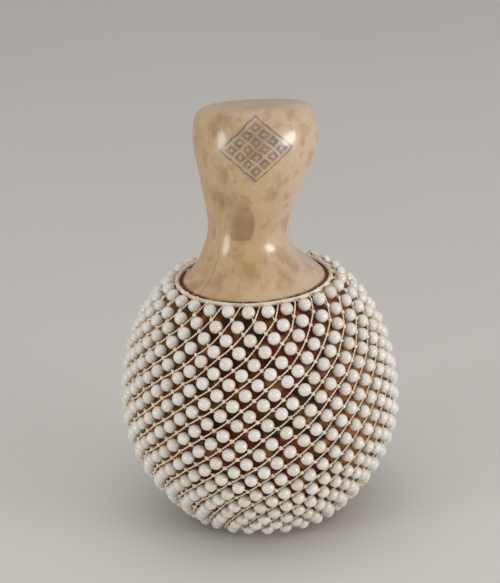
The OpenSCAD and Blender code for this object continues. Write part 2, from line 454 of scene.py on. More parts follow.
@dataclass(frozen=True)
class NetPlan:
    """Where the net's rows, knots and beads lie on the gourd.

    A beaded leg reaches half a mesh and net_slant degrees round the gourd, and net_rest is the angle
    at which the first strand starts. The first row's legs aim at a circle that is collar_lift off
    the gourd, and the collar is drawn in from there by collar_draw.
    """

    gourd: GourdOutline
    bead_d: float = 8.0
    bead_play: float = 0.4
    bead_row_gap: float = 1.9
    strands: int = 28
    row_pitch: float = 6.1
    knot_d: float = 2.4
    net_slant: float = 0.78
    net_rest: float = 3.9
    net_clear: float = 0.6
    collar_lift: float = 4.6
    collar_draw: float = 2.5
    collar_cord_d: float = 2.6
    ring_out: float = 7.0
    ring_cord_d: float = 2.2
    bands: int = 12
    steps: int = 240
    wander: float = 0.42
    wander_most: float = 0.7
    seed: int = 11

    @property
    def off(self) -> float:
        """Distance of the net's middle from the gourd."""
        return self.bead_d / 2 + self.net_clear

    @property
    def leg(self) -> float:
        """Length of the shortest beaded leg from knot to knot."""
        return self.bead_d + self.knot_d + 2 * self.bead_play

    @property
    def leg_turn(self) -> float:
        """Degrees that a beaded leg reaches round the gourd."""
        return 180 / self.strands + self.net_slant

    @cached_property
    def ring_at(self) -> Array:
        """Radius and height of the base ring's centre line."""
        gap = self.ring_cord_d / 2 + self.net_clear
        place = self.gourd.seek(self.gourd.base_r + self.ring_out, 0, gap, 0.0, 1.0)
        return self.gourd.off_wall(place, gap)

    @cached_property
    def top_place(self) -> float:
        """Where the rows begin along the outline, counted in curves."""
        return self.gourd.seek(self.gourd.net_top_z, 1, 0.0, 1.0, 2.0)

    @cached_property
    def net_rows(self) -> Array:
        """Radius and height of every row of knots, from the top."""
        top = self.top_place
        last_r = self.strands * (self.bead_d + self.bead_row_gap) / math.tau
        low = self.gourd.seek(last_r, 0, self.off, 0.0, 1.0)
        places = top + (low - top) * np.arange(self.steps + 2) / self.steps
        line = self.gourd.off_wall(places, self.off)
        reach = (line[1:, 0] + line[:-1, 0]) * math.sin(math.radians(self.leg_turn / 2))
        drop = np.maximum(self.row_pitch, np.sqrt(np.maximum(0.0, self.leg**2 - reach**2)))
        run = np.linalg.norm(np.diff(line, axis=0), axis=1)
        passed = np.concatenate([[0.0], np.cumsum(run / drop)])
        rows = math.floor(passed[self.steps])
        step = np.interp(np.arange(1, rows + 1), passed, np.arange(self.steps + 2))
        return self.gourd.off_wall(top + (low - top) * step / self.steps, self.off)

    def collar_room(self, place: float) -> float:
        """Measures the gap between the collar and the first row's beads.

        Args:
            place: Where the collar would lie along the outline, counted in curves.

        Returns:
            The gap, below zero where they overlap.
        """
        cord, first = self.gourd.off_wall(place, self.collar_lift), self.net_rows[0]
        turn = math.radians(self.leg_turn)
        knot = np.array([0.0, -first[0], first[1]])
        held = np.array([-cord[0] * math.sin(turn), -cord[0] * math.cos(turn), cord[1]])
        x, y, z = self.bead_middle(knot, held, self.collar_cord_d / 2)
        apart = math.hypot(math.hypot(x, y) - cord[0], z - cord[1])
        return apart - (self.bead_d + self.collar_cord_d) / 2

    @cached_property
    def collar_place(self) -> float:
        """Where the collar lies along the outline, just clear of the first row, counted in curves."""
        low, high = self.top_place, 2.0
        for _ in range(SEARCH_STEPS):
            mid = (low + high) / 2
            low, high = (mid, high) if self.collar_room(mid) < self.bead_play else (low, mid)
        return high

    @cached_property
    def collar_at(self) -> Array:
        """Radius and height of the circle that the first row's legs are aimed at."""
        return self.gourd.off_wall(self.collar_place, self.collar_lift)

    @cached_property
    def collar_drawn(self) -> Array:
        """Radius and height of the collar's centre line, drawn in against the gourd."""
        return self.gourd.off_wall(self.collar_place, self.collar_lift - self.collar_draw)

    @cached_property
    def row_points(self) -> Array:
        """Radius and height of every row, the collar first."""
        return np.concatenate([self.collar_at[None, :], self.net_rows])

    @cached_property
    def row_slopes(self) -> Array:
        """The way down the net at every row, in radius and height."""
        return unit(np.gradient(self.row_points, axis=0))

    def bead_middle(self, knot: Array, held: Array, holder_r: float) -> Array:
        """Finds the middle of beads, halfway between their knot and what holds their leg.

        Args:
            knot: The knots under the beads.
            held: The upper ends of the legs.
            holder_r: Radius of the knot or cord that holds the legs.

        Returns:
            The beads' middles.
        """
        leg = held - knot
        length = np.linalg.norm(leg, axis=-1, keepdims=True)
        return knot + leg * (1 + (self.knot_d / 2 - holder_r) / length) / 2

    @property
    def rows(self) -> int:
        """Rows of knots under the collar."""
        return len(self.row_points) - 1

    @cached_property
    def knots(self) -> Array:
        """Every knot as [row, strand, xyz], a little off its even place, as hands leave it."""
        random = np.random.default_rng(self.seed)
        row, strand = np.arange(self.rows + 1)[:, None], np.arange(self.strands)
        turn = self.net_rest + row * self.leg_turn + 360 / self.strands * strand
        out, around = spokes(np.radians(turn))
        place, slope = self.row_points[..., None], self.row_slopes[..., None]
        even = place[:, :1] * out + place[:, 1:] * UP
        down = slope[:, :1] * out + slope[:, 1:] * UP
        stray = random.normal(0.0, self.wander, (*turn.shape, 2))
        stray = np.clip(stray, -self.wander_most, self.wander_most)
        stray[0] = 0.0
        return even + stray[..., :1] * around + stray[..., 1:] * down

    def out_at(self, row: int) -> Array:
        """The direction away from the gourd at each knot of a row."""
        level, fall = self.row_slopes[row]
        return level * UP - fall * unit(self.knots[row] * (1 - UP))

    def held_by(self, row: int, leg: Leg) -> Array:
        """The points that hold a row's legs.

        Args:
            row: The row whose legs are asked for.
            leg: Which of the two legs.

        Returns:
            One point a strand, in the row above.
        """
        above = self.knots[row - 1]
        return above if leg is Leg.BEADED else np.roll(above, -1, axis=0)

    def band_rows(self, band: int) -> range:
        """The rows of a band, counted from 1."""
        first = 1 + math.floor((band - 1) * self.rows / self.bands + 0.5)
        return range(first, math.floor(band * self.rows / self.bands + 0.5) + 1)


@dataclass(frozen=True)
class Mottle:
    """One layer of cloudy colour on the rind.

    It comes in as its noise rises from low to high, up to its strength. The shift sets its clouds
    apart from those of the other layers.
    """

    colour: str
    size: float
    low: float
    high: float
    strength: float
    shift: float = 0.0


@dataclass(frozen=True)
class VarnishedCalabash:
    """Dried calabash rind, scraped smooth and varnished, and painted dark under the net as the shade
    between the beads.

    The rind is tan, golden at the shoulder and pinkish and paler on its right, the paler part being painted
    light of the lit side, with soft brown and pale clouds, a brown birthmark, a hairline check down the
    neck and a lattice in blue-grey ink. The varnish over it gives two clear, soft lights.
    """

    tan: str = "#B8976A"
    gold: str = "#BA9660"
    # Pinkish and paler on the right: partly the rind's own pink tint, partly painted light of the lit right
    # side.
    pink_lit_side: str = "#CBB4A4"
    # Painted shade and painted light under the net: dark brown and red for the shadow between the beads,
    # ochre for its lit patches.
    net_gap_shade: str = "#2E0F08"
    net_gap_shade_red: str = "#6E1F0C"
    net_gap_lit_ochre: str = "#A67736"
    birthmark: str = "#8F6A4A"
    check: str = "#7B6549"
    ink: str = "#5A5D65"
    gold_top_z: float = 206.0
    gold_low_z: float = 168.0
    gold_share: float = 0.65
    pink_lit_side_x: float = 2.0
    pink_lit_side_full_x: float = 34.0
    pink_lit_side_share: float = 0.8
    shade_top_z: float = 156.9
    shade_full_z: float = 155.3
    rough_low: float = 0.36
    rough_high: float = 0.5
    net_dulling: float = 0.35
    specular: float = 0.5
    net_specular: float = 0.12
    coat: float = 0.6
    coat_roughness: float = 0.17
    rind_ior: float = 1.5
    coat_ior: float = 1.5
    # Real pores are finer than a pixel, so they are drawn as coarse as they need to show.
    pore_size: float = 2.6
    pore_depth: float = 0.12
    pore_strength: float = 0.25
    check_depth: float = 0.8
    mottles: tuple[Mottle, ...] = (
        Mottle("#C8AC89", 46.0, 0.42, 0.60, 0.50),
        Mottle("#C2A190", 24.0, 0.50, 0.64, 0.45, shift=80.0),
        Mottle("#906B44", 16.0, 0.50, 0.68, 0.50, shift=190.0),
        Mottle("#A97C40", 11.0, 0.53, 0.68, 0.45, shift=310.0),
        Mottle("#82644A", 6.5, 0.54, 0.74, 0.35, shift=420.0),
        Mottle("#D2BC9E", 4.2, 0.54, 0.72, 0.30, shift=530.0),
    )

    def material(self) -> bpy.types.Material:
        """Wires the material.

        Returns:
            The material.
        """
        material, tree = new_tree("dried_calabash_varnished")
        mm = put(tree, "Attribute", attribute_name="straight").outputs["Vector"]
        x, y, z = put(tree, "SeparateXYZ", {0: mm}).outputs
        front = put(tree, "Math", {0: y, 1: -1.0}, operation="MULTIPLY")
        turn = put(tree, "Math", {0: x, 1: front}, operation="ARCTAN2")
        golden = put(tree, "MapRange", {0: z, 1: self.gold_top_z, 2: self.gold_low_z, 4: self.gold_share},
                     **SMOOTH)
        # Painted light: the right side made paler, along with the rind's pink tint.
        pink_lit_side_mask = put(tree, "MapRange", {0: x, 1: self.pink_lit_side_x, 2: self.pink_lit_side_full_x, 4: self.pink_lit_side_share},
                      **SMOOTH)
        checked = self.check_mask(tree, mm, turn, z)
        layers = [(golden, self.gold), (pink_lit_side_mask, self.pink_lit_side)]
        layers += [(self.cloud_mask(tree, mm, mottle), mottle.colour) for mottle in self.mottles]
        layers += [(self.birthmark_mask(tree, mm, turn, z), self.birthmark), (checked, self.check),
                   (self.lattice_mask(tree, mm, turn, z), self.ink)]
        colour = linear(self.tan)
        for mask, tint in layers:
            colour = put(tree, "Mix", {0: mask, 6: colour, 7: linear(tint)}, data_type="RGBA")
        # Painted shade under the net, for the shadow between the beads.
        colour, bare = self.paint_net_shade(tree, mm, z, colour)
        pores = put(tree, "TexNoise", {"Vector": mm, "Scale": 1 / self.pore_size, "Detail": 5.0})
        rough = put(tree, "MapRange", {0: pores, 1: NOISE_LOW, 2: NOISE_HIGH, 3: self.rough_low,
                                       4: self.rough_high})
        dull = put(tree, "MapRange", {0: bare, 3: self.net_dulling, 4: 0.0})
        rough = put(tree, "Math", {0: rough, 1: dull}, operation="ADD")
        shine = put(tree, "MapRange", {0: bare, 3: self.net_specular, 4: self.specular})
        groove = put(tree, "Math", {0: checked, 1: -self.check_depth, 2: pores}, operation="MULTIPLY_ADD")
        bump = put(tree, "Bump", {"Strength": self.pore_strength, "Distance": self.pore_depth * MM,
                                  "Height": groove})
        coat = put(tree, "Math", {0: bare, 1: self.coat}, operation="MULTIPLY")
        shader = put(tree, "BsdfPrincipled", {
            "Base Color": colour, "Roughness": rough, "IOR": self.rind_ior, "Specular IOR Level": shine,
            "Coat Weight": coat, "Coat Roughness": self.coat_roughness, "Coat IOR": self.coat_ior,
            "Normal": bump,
        })
        put(tree, "OutputMaterial", {0: shader})
        return material

    @staticmethod
    def cloud_mask(tree: bpy.types.NodeTree, mm: Feed, mottle: Mottle) -> Feed:
        """Masks one layer of clouds.

        Args:
            tree: The material's node tree.
            mm: The place on the gourd in millimetres.
            mottle: The layer.

        Returns:
            The mask, from 0 to the layer's strength.
        """
        moved = put(tree, "Mapping", {0: mm, "Location": (mottle.shift, 0.0, 0.0)})
        noise = put(tree, "TexNoise", {"Vector": moved, "Scale": 1 / mottle.size, "Detail": 3.0})
        return put(tree, "MapRange", {0: noise, 1: mottle.low, 2: mottle.high, 4: mottle.strength},
                   **SMOOTH)

    @staticmethod
    def birthmark_mask(tree: bpy.types.NodeTree, mm: Feed, turn: Feed, z: Feed) -> Feed:
        """Masks the brown mark on the front of the neck: a leaf with a hazy tail up to the left.

        Args:
            tree: The material's node tree.
            mm: The place on the gourd in millimetres.
            turn: Its angle from the front.
            z: Its height.

        Returns:
            The mask, from 0 to 0.8.
        """
        neck_r, middle_z, bow, depth = 25.0, 194.0, 0.03, 0.8
        right, left, foot, top = (4.1, 2.3), (-14.0, -6.5), (185.9, 187.2), (219.0, 194.0)
        grain_size, stray_low, stray_high, stray_by = 4.0, 0.2, 0.8, 0.5
        haze_at, haze_half, haze_tilt = (-17.0, 211.0, 0.0), (15.0, 6.0, 1.0), math.radians(-25.0)
        haze_edge, haze_full = 1.15, 0.2
        noise = put(tree, "TexNoise", {"Vector": mm, "Scale": 1 / grain_size, "Detail": 4.0})
        stray = put(tree, "MapRange", {0: noise, 1: stray_low, 2: stray_high, 3: -stray_by, 4: stray_by})
        side = put(tree, "Math", {0: turn, 1: neck_r, 2: stray}, operation="MULTIPLY_ADD")
        high = put(tree, "Math", {0: z, 1: middle_z}, operation="SUBTRACT")
        square = put(tree, "Math", {0: high, 1: high}, operation="MULTIPLY")
        bowed = put(tree, "Math", {0: square, 1: bow, 2: side}, operation="MULTIPLY_ADD")
        leaf = depth
        for place, (start, full) in ((bowed, right), (side, left), (z, foot), (z, top)):
            edge = put(tree, "MapRange", {0: place, 1: start, 2: full}, **SMOOTH)
            leaf = put(tree, "Math", {0: leaf, 1: edge}, operation="MULTIPLY")
        spot = put(tree, "CombineXYZ", {0: side, 1: z})
        spot = put(tree, "Mapping", {0: spot, "Location": haze_at, "Rotation": (0.0, 0.0, haze_tilt),
                                     "Scale": haze_half}, vector_type="TEXTURE")
        far = put(tree, "VectorMath", {0: spot}, operation="LENGTH").outputs["Value"]
        haze = put(tree, "MapRange", {0: far, 1: haze_edge, 2: haze_full}, **SMOOTH)
        haze = put(tree, "Math", {0: haze, 1: noise}, operation="MULTIPLY")
        return put(tree, "Math", {0: leaf, 1: haze}, operation="MAXIMUM")

    @staticmethod
    def check_mask(tree: bpy.types.NodeTree, mm: Feed, turn: Feed, z: Feed) -> Feed:
        """Masks the hairline check that bends from the neck's foot to the shoulder.

        Args:
            tree: The material's node tree.
            mm: The place on the gourd in millimetres.
            turn: Its angle from the front.
            z: Its height.

        Returns:
            The mask, from 0 to 0.65.
        """
        waver_size, turn_low, turn_high = 5.0, 40.0, 41.6
        knee_z, bends = 176.0, ((157.4, 10.5), (190.0, 2.9))
        edge_turn, full_turn, depth = 1.0, 0.2, 0.65
        end_z, fade_z = 195.0, 180.0
        waver = put(tree, "TexNoise", {"Vector": mm, "Scale": 1 / waver_size, "Detail": 3.0})
        line = put(tree, "MapRange", {0: waver, 1: NOISE_LOW, 2: NOISE_HIGH, 3: turn_low, 4: turn_high})
        for bend_z, reach in bends:
            bend = put(tree, "MapRange", {0: z, 1: knee_z, 2: bend_z, 4: reach})
            line = put(tree, "Math", {0: line, 1: bend}, operation="ADD")
        away = put(tree, "Math", {0: turn, 1: math.degrees(1.0), 2: line}, operation="MULTIPLY_ADD")
        away = put(tree, "Math", {0: away}, operation="ABSOLUTE")
        near = put(tree, "MapRange", {0: away, 1: edge_turn, 2: full_turn, 4: depth}, **SMOOTH)
        lower = put(tree, "MapRange", {0: z, 1: end_z, 2: fade_z})
        return put(tree, "Math", {0: near, 1: lower}, operation="MULTIPLY")

    @staticmethod
    def lattice_mask(tree: bpy.types.NodeTree, mm: Feed, turn: Feed, z: Feed) -> Feed:
        """Masks the inked lattice of small lozenges on the front of the bulb.

        Args:
            tree: The material's node tree.
            mm: The place on the gourd in millimetres.
            turn: Its angle from the front.
            z: Its height.

        Returns:
            The mask, from 0 to 0.95.
        """
        width, height, middle_z, bulb_r, cells = 40.0, 32.0, 239.8, 38.6, 4.0
        hand_size, hand_by, half = 4.0, 0.06, 0.5
        tile, heart, border_at, border_half = (0.46, 0.34), (0.10, 0.18), 0.56, 0.022
        grain_size, faint, deep = 2.4, 0.4, 0.95
        hand = put(tree, "TexNoise", {"Vector": mm, "Scale": 1 / hand_size, "Detail": 2.0}).outputs[1]
        hand = put(tree, "VectorMath", {0: hand, 1: (half, half, half)}, operation="SUBTRACT")
        hand_u, hand_v, _ = put(tree, "SeparateXYZ", {0: hand}).outputs
        even_u = put(tree, "Math", {0: turn, 1: bulb_r / width}, operation="MULTIPLY")
        even_v = put(tree, "Math", {0: z, 1: 1 / height, 2: -middle_z / height}, operation="MULTIPLY_ADD")
        u, v = (put(tree, "Math", {0: stray, 1: hand_by, 2: even}, operation="MULTIPLY_ADD")
                for stray, even in ((hand_u, even_u), (hand_v, even_v)))
        reach, from_middle = [], []
        for sign in (1.0, -1.0):
            slant = put(tree, "Math", {0: v, 1: sign, 2: u}, operation="MULTIPLY_ADD")
            reach.append(put(tree, "Math", {0: slant}, operation="ABSOLUTE"))
            part = put(tree, "Math", {0: slant, 1: cells}, operation="MULTIPLY")
            part = put(tree, "Math", {0: part}, operation="FRACT")
            part = put(tree, "Math", {0: part, 1: half}, operation="SUBTRACT")
            from_middle.append(put(tree, "Math", {0: part}, operation="ABSOLUTE"))
        edge = put(tree, "Math", dict(enumerate(reach)), operation="MAXIMUM")
        cell = put(tree, "Math", dict(enumerate(from_middle)), operation="MAXIMUM")
        figure = put(tree, "Math", {0: edge, 1: half}, operation="LESS_THAN")
        for start, full in (tile, heart):
            band = put(tree, "MapRange", {0: cell, 1: start, 2: full}, **SMOOTH)
            figure = put(tree, "Math", {0: figure, 1: band}, operation="MULTIPLY")
        border = put(tree, "Math", {0: edge, 1: border_at, 2: border_half}, operation="COMPARE")
        figure = put(tree, "Math", {0: figure, 1: border}, operation="MAXIMUM")
        grain = put(tree, "TexNoise", {"Vector": mm, "Scale": 1 / grain_size, "Detail": 4.0})
        depth = put(tree, "MapRange", {0: grain, 1: NOISE_LOW, 2: NOISE_HIGH, 3: faint, 4: deep})
        return put(tree, "Math", {0: figure, 1: depth}, operation="MULTIPLY")

    def paint_net_shade(
        self, tree: bpy.types.NodeTree, mm: Feed, z: Feed, colour: Feed
    ) -> tuple[Feed, Feed]:
        """Paints shade into the rind's colour under the net, for the shadow between the beads, and dulls
        the varnish there.

        The painted shade is brown and red in broad clouds, and ochre, painted light for lit patches, in
        small ones and towards the sides.

        Args:
            tree: The material's node tree.
            mm: The place on the gourd in millimetres.
            z: Its height.
            colour: The colour so far.

        Returns:
            The new colour, and how bare of the net the place is, from 0 to 1.
        """
        # Painted shade: dark brown and red for the shadow between the beads; ochre clouds and sides are
        # painted light on lit patches.
        ochre_size, ochre_low, ochre_high = 7.0, 0.48, 0.70
        red_size, red_low, red_high = 22.0, 0.40, 0.58
        side_x, side_full_x, side_share = 30.0, 62.0, 0.65
        edge_stray, least_bare = 0.6, 0.06
        cloud = put(tree, "TexNoise", {"Vector": mm, "Scale": 1 / ochre_size, "Detail": 4.0})
        ochre = put(tree, "MapRange", {0: cloud, 1: ochre_low, 2: ochre_high}, **SMOOTH)
        across = put(tree, "SeparateXYZ", {0: mm}).outputs["X"]
        across = put(tree, "Math", {0: across}, operation="ABSOLUTE")
        side = put(tree, "MapRange", {0: across, 1: side_x, 2: side_full_x, 4: side_share}, **SMOOTH)
        ochre = put(tree, "Math", {0: ochre, 1: side}, operation="MAXIMUM")
        broad = put(tree, "TexNoise", {"Vector": mm, "Scale": 1 / red_size, "Detail": 3.0})
        red = put(tree, "MapRange", {0: broad, 1: red_low, 2: red_high}, **SMOOTH)
        painted_shade = linear(self.net_gap_shade)
        for mask, tint in ((red, self.net_gap_shade_red), (ochre, self.net_gap_lit_ochre)):
            painted_shade = put(tree, "Mix", {0: mask, 6: painted_shade, 7: linear(tint)}, data_type="RGBA")
        stray = put(tree, "MapRange", {0: cloud, 3: -edge_stray, 4: edge_stray})
        height = put(tree, "Math", {0: z, 1: stray}, operation="ADD")
        bare = put(tree, "MapRange", {0: height, 1: self.shade_full_z, 2: self.shade_top_z, 3: least_bare},
                   **SMOOTH)
        return put(tree, "Mix", {0: bare, 6: painted_shade, 7: colour}, data_type="RGBA"), bare


@dataclass(frozen=True)
class RawPith:
    """The gourd's inside, scraped and left bare: pale, dry and fibrous, with no shine."""

    pale: str = "#CDB68C"
    dark: str = "#9C7F54"
    fibre: float = 1.8
    fibre_stretch: float = 4.0
    fibre_depth: float = 0.4
    dark_from: float = 0.35
    roughness: float = 0.92

    def material(self) -> bpy.types.Material:
        """Wires the material.

        Returns:
            The material.
        """
        material, tree = new_tree("dried_calabash_raw_pith")
        drawn = put(tree, "Mapping", {0: place_in_mm(tree), "Scale": (1.0, 1.0, 1 / self.fibre_stretch)})
        fibre = put(tree, "TexNoise", {"Vector": drawn, "Scale": 1 / self.fibre, "Detail": 6.0,
                                       "Roughness": 0.65})
        share = put(tree, "MapRange", {0: fibre, 1: self.dark_from, 2: NOISE_HIGH})
        colour = put(tree, "Mix", {0: share, 6: linear(self.pale), 7: linear(self.dark)}, data_type="RGBA")
        bump = put(tree, "Bump", {"Strength": 0.6, "Distance": self.fibre_depth * MM, "Height": fibre})
        shader = put(tree, "BsdfPrincipled", {"Base Color": colour, "Roughness": self.roughness,
                                              "Normal": bump})
        put(tree, "OutputMaterial", {0: shader})
        return material


@dataclass(frozen=True)
class MouldedBead:
    """Ivory-white acrylic beads, moulded and tumbled to a soft pearl gloss.

    No two are quite the same white, and handling leaves a tan line round the hole.
    """

    white: str = "#E3E0DA"
    ivory: str = "#D6CDBE"
    handled: str = "#B79A70"
    handled_share: float = 0.6
    rough_low: float = 0.22
    rough_high: float = 0.34
    ior: float = 1.49
    coat: float = 0.35
    coat_roughness: float = 0.12
    cloud: float = 2.4
    cloud_share: float = 0.5
    cloud_depth: float = 0.08
    white_tone: float = 0.2
    ivory_tone: float = 1.3

    def material(self) -> bpy.types.Material:
        """Wires the material.

        Returns:
            The material.
        """
        material, tree = new_tree("acrylic_bead_moulded_tumbled")
        tone = put(tree, "Attribute", attribute_name="tone").outputs["Fac"]
        rim = put(tree, "Attribute", attribute_name="rim").outputs["Fac"]
        cloud = put(tree, "TexNoise", {"Vector": place_in_mm(tree), "Scale": 1 / self.cloud, "Detail": 3.0})
        share = put(tree, "Math", {0: cloud, 1: self.cloud_share, 2: tone}, operation="MULTIPLY_ADD")
        share = put(tree, "MapRange", {0: share, 1: self.white_tone, 2: self.ivory_tone})
        worn = put(tree, "Math", {0: rim, 1: self.handled_share}, operation="MULTIPLY")
        colour = linear(self.white)
        for mask, tint in ((share, self.ivory), (worn, self.handled)):
            colour = put(tree, "Mix", {0: mask, 6: colour, 7: linear(tint)}, data_type="RGBA")
        rough = put(tree, "MapRange", {0: cloud, 1: NOISE_LOW, 2: NOISE_HIGH, 3: self.rough_low,
                                       4: self.rough_high})
        bump = put(tree, "Bump", {"Strength": 0.12, "Distance": self.cloud_depth * MM, "Height": cloud})
        shader = put(tree, "BsdfPrincipled", {
            "Base Color": colour, "Roughness": rough, "IOR": self.ior, "Normal": bump,
            "Coat Weight": self.coat, "Coat Roughness": self.coat_roughness,
        })
        put(tree, "OutputMaterial", {0: shader})
        return material


@dataclass(frozen=True)
class SpunCotton:
    """Spun cotton cord: matt, with a faint bloom of loose fibre and a little grime in its lay."""

    name: str
    pale: str
    dark: str
    # Cotton fibre is finer than a pixel, so it is drawn as coarse as it needs to show.
    fibre: float = 0.5
    fibre_depth: float = 0.1
    grime: float = 9.0
    pale_below: float = 0.8
    dark_above: float = 1.3
    roughness: float = 0.88
    sheen: float = 0.25

    def material(self) -> bpy.types.Material:
        """Wires the material.

        Returns:
            The material.
        """
        material, tree = new_tree(self.name)
        mm = place_in_mm(tree)
        fibre, grime = (put(tree, "TexNoise", {"Vector": mm, "Scale": 1 / size, "Detail": 3.0})
                        for size in (self.fibre, self.grime))
        share = put(tree, "Math", {0: fibre, 1: grime}, operation="ADD")
        share = put(tree, "MapRange", {0: share, 1: self.pale_below, 2: self.dark_above})
        colour = put(tree, "Mix", {0: share, 6: linear(self.pale), 7: linear(self.dark)}, data_type="RGBA")
        bump = put(tree, "Bump", {"Strength": 0.5, "Distance": self.fibre_depth * MM, "Height": fibre})
        shader = put(tree, "BsdfPrincipled", {
            "Base Color": colour, "Roughness": self.roughness, "Normal": bump, "Sheen Weight": self.sheen,
        })
        put(tree, "OutputMaterial", {0: shader})
        return material


@dataclass(frozen=True)
class PaleFloor:
    """A plain matt studio floor with a faint, broad unevenness."""

    pale: str = "#D9D6D1"
    dark: str = "#D2CFCA"
    patch: float = 400.0
    roughness: float = 0.9

    def material(self) -> bpy.types.Material:
        """Wires the material.

        Returns:
            The material.
        """
        material, tree = new_tree("studio_floor_matt")
        patch = put(tree, "TexNoise", {"Vector": place_in_mm(tree), "Scale": 1 / self.patch, "Detail": 2.0})
        colour = put(tree, "Mix", {0: patch, 6: linear(self.pale), 7: linear(self.dark)}, data_type="RGBA")
        shader = put(tree, "BsdfPrincipled", {"Base Color": colour, "Roughness": self.roughness})
        put(tree, "OutputMaterial", {0: shader})
        return material


def place_piece(piece: bpy.types.Object, body: Body, slot: Slot, *nodes: str) -> None:
    """Fixes a piece to its body and reports it.

    Args:
        piece: The piece.
        body: The body that it rides on.
        slot: The record's slot for its finish; not used.
        *nodes: The nodes that it stands for.
    """
    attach(piece, body.value)
    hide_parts(*nodes)
    faces = len(piece.data.polygons)
    log.info("%s: %d faces on %s, for %s", piece.name, faces, body.value, ", ".join(nodes))


@dataclass
class Gourd:
    """The hollow bottle gourd, turned from one outline and a little uneven, as it grew."""

    outline: GourdOutline
    wall: float = 4.5
    mouth_r: float = 20.0
    rim_round: float = 1.0
    rim_steps: int = 5
    sides: int = 192
    ring_gap: float = 1.7
    inner_ring_gap: float = 5.0
    # Where the rings stop short of the crown's middle, counted in curves.
    last_ring: float = 3.985
    last_inner_ring: float = 3.9
    run_steps: int = 3000
    uneven_neck: float = 0.5
    uneven_belly: float = 0.1
    # Lobes round the gourd and length along it of each wave of the rind.
    waves: tuple[tuple[int, float], ...] = ((2, 160.0), (3, 95.0), (4, 60.0), (5, 44.0), (7, 30.0))
    net_margin: float = 5.0
    even_base: float = 6.0
    even_crown_r: float = 25.0
    seed: int = 5

    def even_places(self, low: float, high: float, gap: float) -> Array:
        """Finds evenly spaced places along the outline.

        Args:
            low: Where they start, counted in curves.
            high: Where they end.
            gap: The wanted distance between them.

        Returns:
            The places.
        """
        fine = np.linspace(low, high, self.run_steps)
        steps = np.linalg.norm(np.diff(self.outline.off_wall(fine), axis=0), axis=1)
        run = np.concatenate([[0.0], np.cumsum(steps)])
        return np.interp(np.linspace(0.0, run[-1], round(run[-1] / gap)), run, fine)

    def profile(self) -> tuple[Array, int]:
        """Draws the closed outline from the inner crown, through the mouth, to the outer crown.

        Returns:
            Radius and height of each ring, and how many rings belong to the bare inside.
        """
        inner = self.even_places(0.0, self.last_inner_ring, self.inner_ring_gap)[::-1]
        inner = self.outline.off_wall(inner, -self.wall)
        turn = np.radians(np.linspace(0.0, 90.0, self.rim_steps))[:, None]
        bend = self.rim_round * np.concatenate([1 - np.sin(turn), 1 - np.cos(turn)], axis=1)
        upper = np.array([self.mouth_r, inner[-1, 1]]) + bend * np.array([1.0, -1.0])
        lower = np.array([self.mouth_r, 0.0]) + bend[::-1]
        inside = np.concatenate([inner, upper, lower])
        outer = self.outline.off_wall(self.even_places(0.0, self.last_ring, self.ring_gap))
        return np.concatenate([inside, outer]), len(inside)

    def unevenness(self, turn: Array, z: Array) -> Array:
        """Gives the rind's hills and hollows.

        Args:
            turn: Angles round the gourd.
            z: Heights, one for each ring.

        Returns:
            Outward distances as [ring, side].
        """
        random = np.random.default_rng(self.seed)
        hills = np.zeros((len(z), len(turn)))
        for lobes, length in self.waves:
            lean, start = random.uniform(-1.0, 1.0), random.uniform(0.0, math.tau)
            hills += np.sin(lobes * turn + lean * math.tau * z[:, None] / length + start) / lobes
        bare = smooth_step(z, self.outline.net_top_z + self.net_margin, self.outline.neck_z)[:, None]
        fade = smooth_step(z, 0.0, self.even_base)[:, None]
        return hills * fade * (self.uneven_belly + (self.uneven_neck - self.uneven_belly) * bare)

    def build(self) -> None:
        """Makes, dresses and places the gourd."""
        rings, bare = self.profile()
        turn = math.tau * np.arange(self.sides) / self.sides
        radius = np.repeat(rings[:, :1], self.sides, axis=1)
        hills = self.unevenness(turn, rings[bare:, 1])
        radius[bare:] += hills * smooth_step(rings[bare:, 0], 0.0, self.even_crown_r)[:, None]
        height = np.repeat(rings[:, 1:], self.sides, axis=1)
        straight = np.stack([radius * np.cos(turn), radius * np.sin(turn), height], axis=-1).reshape(-1, 3)
        top_z = self.outline.top_z
        straight = np.concatenate([straight, [(top_z - self.wall) * UP, top_z * UP]])
        side = np.arange(self.sides)
        after = (side + 1) % self.sides
        quads = grid_faces(len(rings), self.sides)
        inside = (bare - 1) * self.sides
        last = (len(rings) - 1) * self.sides
        tips = len(rings) * self.sides
        faces = [
            np.stack([np.full(self.sides, tips), after, side], axis=1),
            quads[:inside],
            quads[inside:],
            np.stack([last + side, last + after, np.full(self.sides, tips + 1)], axis=1),
        ]
        parts = MeshParts()
        parts.add(self.outline.bent(straight), faces, [1, 1, 0, 0], straight=straight)
        made = parts.build("gourd", [VarnishedCalabash().material(), RawPith().material()])
        place_piece(made, Body.GOURD, Slot.GOURD, "gourd_shell")


